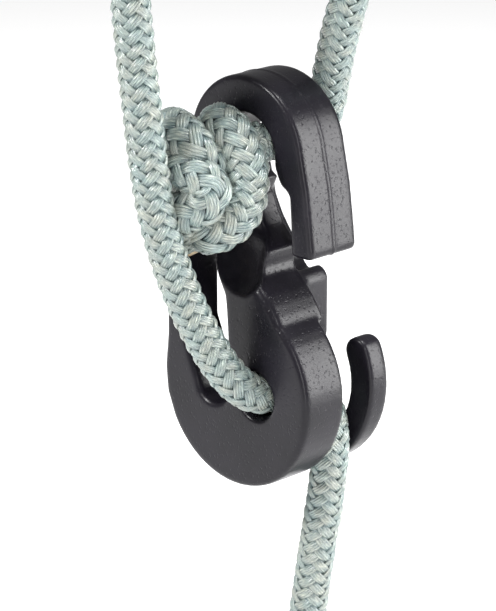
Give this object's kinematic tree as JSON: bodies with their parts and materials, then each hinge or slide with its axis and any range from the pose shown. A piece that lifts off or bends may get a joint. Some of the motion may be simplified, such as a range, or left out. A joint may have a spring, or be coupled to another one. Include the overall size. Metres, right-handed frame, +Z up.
{
  "type": "rope hook and adjuster",
  "caption": "Moulded plastic open hook that a knotted rope end hangs in, with a slotted round cheek and horn that grip the same rope's running part.",
  "frame": {"origin": "crown of the rope's bight, which passes over whatever holds the part up", "axes": "+Z up along the hanging rope, +X to the right of the hook's cheek face, +Y from the cheek face through to the rear plate"},
  "size_m": [0.0425, 0.0524, 0.1792],
  "materials": {
    "moulded_plastic": "satin black glass-filled nylon, pitted rims",
    "braided_rope": "sage green braided polyester",
    "sealed_end": "heat-sealed tan rope end"
  },
  "bodies": {
    "rope": {"rope_bight": "braided_rope", "rope_standing_part": "braided_rope", "rope_becket_turn": "braided_rope", "rope_running_part": "braided_rope"},
    "hook": {"hook_body": "moulded_plastic", "rope_cheek_turn": "braided_rope"},
    "knot": {"stopper_knot": "braided_rope", "knot_short_end": "sealed_end"},
    "tail": {"rope_tail": "braided_rope"}
  },
  "joints": [
    {"name": "hook_rock", "type": "hinge", "parent": "rope", "child": "hook", "pos_m": [0.002, 0.01, -0.0606], "axis": [0, 1, 0], "range_deg": [-5, 5]},
    {"name": "knot_swing", "type": "hinge", "parent": "rope", "child": "knot", "pos_m": [0.002, 0.0027, -0.0606], "axis": [0, 1, 0], "range_deg": [-8, 8]},
    {"name": "tail_swing", "type": "hinge", "parent": "hook", "child": "tail", "pos_m": [0.0138, 0.01285, -0.121], "axis": [0, 1, 0], "range_deg": [-10, 10]}
  ]
}
